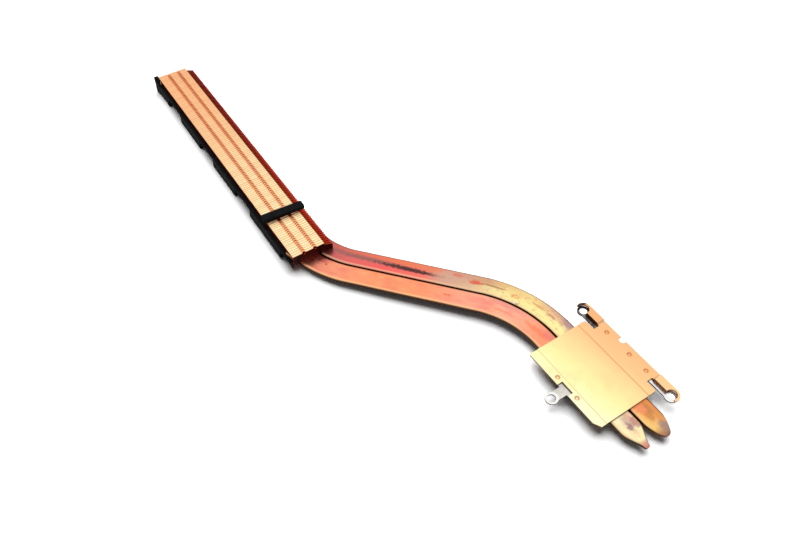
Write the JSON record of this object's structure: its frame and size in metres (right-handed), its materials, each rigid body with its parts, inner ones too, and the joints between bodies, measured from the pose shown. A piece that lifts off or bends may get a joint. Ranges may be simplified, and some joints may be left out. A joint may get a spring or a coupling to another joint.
{
  "type": "laptop heatsink",
  "caption": "Copper cold plate soldered to flattened heat pipes that run in an S-bend to a long stack of thin folded fins, held to its board by sprung steel screw rings.",
  "frame": {"origin": "centre of the cold plate's contact face", "axes": "+Z out of the contact face, +Y along the straight pipe runs towards the fin stack, +X to the side with two screws"},
  "size_m": [0.0826, 0.2686, 0.0086],
  "materials": {
    "plate_copper": "rolled sheet, lightly tarnished",
    "left_pipe_copper": "drawn tube, satin",
    "right_pipe_copper": "drawn tube, tarnished and stained",
    "fin_copper": "thin folded sheet, bright",
    "spring_steel": "satin",
    "black_foam": "closed-cell foam, matt"
  },
  "bodies": {
    "root": {"cold_plate": "plate_copper", "heat_pipe_left": "left_pipe_copper", "heat_pipe_right": "right_pipe_copper", "fin_end_near": "fin_copper", "fin_stack_short": "fin_copper", "fin_stack_long": "fin_copper", "fin_end_far": "fin_copper", "spring_leaf_left": "spring_steel", "spring_strip_right": "spring_steel", "side_gasket": "black_foam", "foam_bar": "black_foam"}
  },
  "joints": []
}
